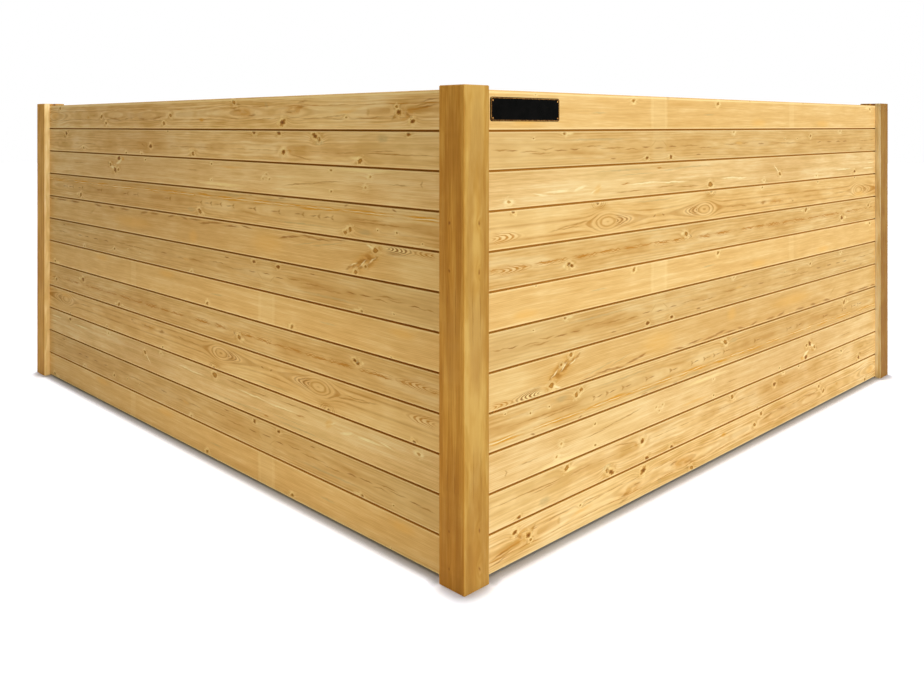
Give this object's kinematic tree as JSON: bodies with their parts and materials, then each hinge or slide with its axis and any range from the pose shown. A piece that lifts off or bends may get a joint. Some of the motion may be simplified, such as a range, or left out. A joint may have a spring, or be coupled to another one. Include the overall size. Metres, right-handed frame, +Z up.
{
  "type": "horizontal board fence corner",
  "caption": "Outside corner of a solid timber fence: tongue-and-groove boards laid horizontally in slots down square posts, stiffened by battens behind.",
  "frame": {"origin": "middle of the corner post's foot, at ground level", "axes": "+Z up, +X along the right bay, +Y along the left bay; the street side faces -Y and -X"},
  "size_m": [4.133, 4.133, 1.8508],
  "materials": {
    "corner_post_timber": "satin, oiled, clear grain",
    "end_post_timber": "satin, oiled",
    "board_timber": "satin, knotty pine with resin streaks",
    "batten_timber": "satin, knotty pine",
    "sign_plate_enamel": "gloss"
  },
  "bodies": {
    "root": {"corner_post": "corner_post_timber", "left_end_post": "end_post_timber", "right_end_post": "end_post_timber", "left_boards": "board_timber", "right_boards": "board_timber", "left_batten_1": "batten_timber", "left_batten_2": "batten_timber", "right_batten_1": "batten_timber", "right_batten_2": "batten_timber", "sign_plate": "sign_plate_enamel"}
  },
  "joints": []
}
